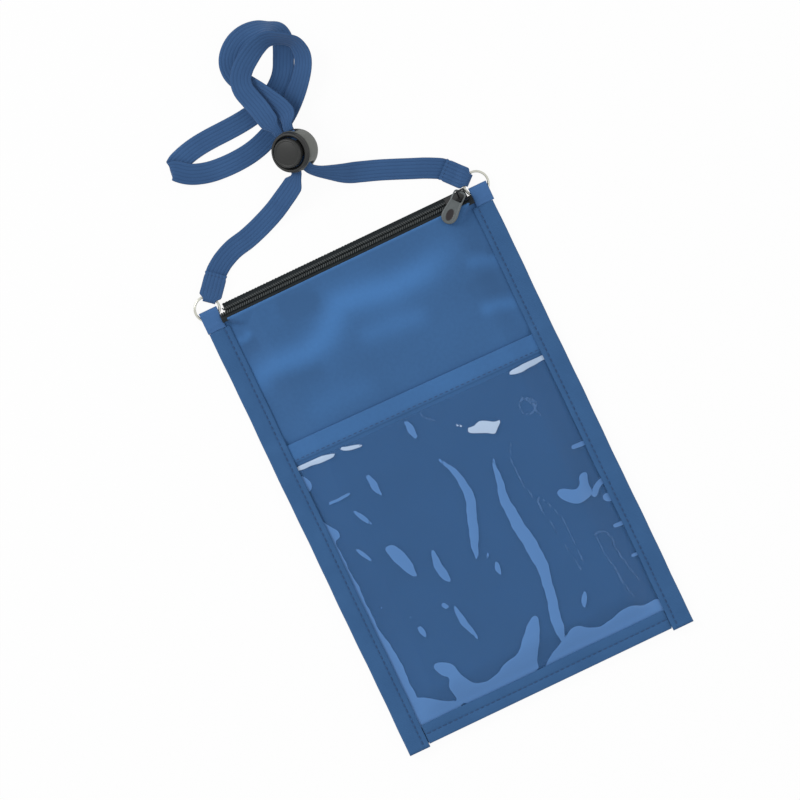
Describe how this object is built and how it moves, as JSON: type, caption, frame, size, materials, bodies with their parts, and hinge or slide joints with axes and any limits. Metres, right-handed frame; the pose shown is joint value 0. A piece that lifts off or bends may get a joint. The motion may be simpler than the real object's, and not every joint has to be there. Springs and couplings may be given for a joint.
{
  "type": "neck wallet",
  "caption": "Flat cloth neck wallet with a zipped main pocket, a clear front pocket and a flat braided neck cord on two rings with a cord lock.",
  "frame": {"origin": "centre of the flat back face of the wallet, which lies on its back", "axes": "+Y from the bottom edge to the zipper and the rings, +Z out of the front, +X to the right of someone looking at the front"},
  "size_m": [0.144, 0.326, 0.0199],
  "materials": {
    "cloth": "plain woven blue polyester, matt",
    "vinyl": "clear soft vinyl, glossy",
    "binding": "blue ribbed binding tape",
    "zipper_tape": "dark woven tape",
    "zipper_coil": "dark grey moulded coil",
    "black_metal": "black painted cast metal",
    "pull_rubber": "grey painted pull",
    "nickel": "nickel plated wire",
    "braid": "blue flat braid",
    "lock_plastic": "dark grey moulded plastic, satin",
    "spring_steel": "bright steel wire"
  },
  "bodies": {
    "wallet": {"back_panel": "cloth", "front_panel": "cloth", "slip_pocket_panel": "cloth", "clear_window": "vinyl", "left_binding": "binding", "right_binding": "binding", "bottom_binding": "binding", "zipper_tape_front": "zipper_tape", "zipper_tape_rear": "zipper_tape", "zipper_coil_front": "zipper_coil", "zipper_coil_rear": "zipper_coil", "left_ring_loop": "binding", "right_ring_loop": "binding", "left_cord_end": "braid", "right_cord_end": "braid", "neck_cord_left_run": "braid", "neck_cord_right_run": "braid", "neck_cord_loops": "braid", "cord_lock_body": "lock_plastic", "cord_lock_spring": "spring_steel"},
    "slider": {"zipper_slider": "black_metal"},
    "pull": {"zipper_pull": "pull_rubber"},
    "button": {"cord_lock_button": "lock_plastic"},
    "left_ring": {"left_ring": "nickel"},
    "right_ring": {"right_ring": "nickel"}
  },
  "joints": [
    {"name": "zipper_slide", "type": "slide", "parent": "wallet", "child": "slider", "axis": [1, 0, 0], "range_m": [-0.1075, 0]},
    {"name": "pull_swing", "type": "hinge", "parent": "slider", "child": "pull", "pos_m": [0.0582, 0.10716, 0.007], "axis": [-0.6361, 0.7716, 0], "range_deg": [0, 140]},
    {"name": "button_press", "type": "slide", "parent": "wallet", "child": "button", "axis": [0.4695, 0, -0.8829], "range_m": [0, 0.0025], "deforming": ["cord_lock_spring"]},
    {"name": "left_ring_turn", "type": "hinge", "parent": "wallet", "child": "left_ring", "pos_m": [-0.0658, 0.1089, 0.0018], "axis": [0, 0, 1], "continuous": true},
    {"name": "right_ring_turn", "type": "hinge", "parent": "wallet", "child": "right_ring", "pos_m": [0.0662, 0.1077, 0.0018], "axis": [0, 0, 1], "continuous": true}
  ]
}
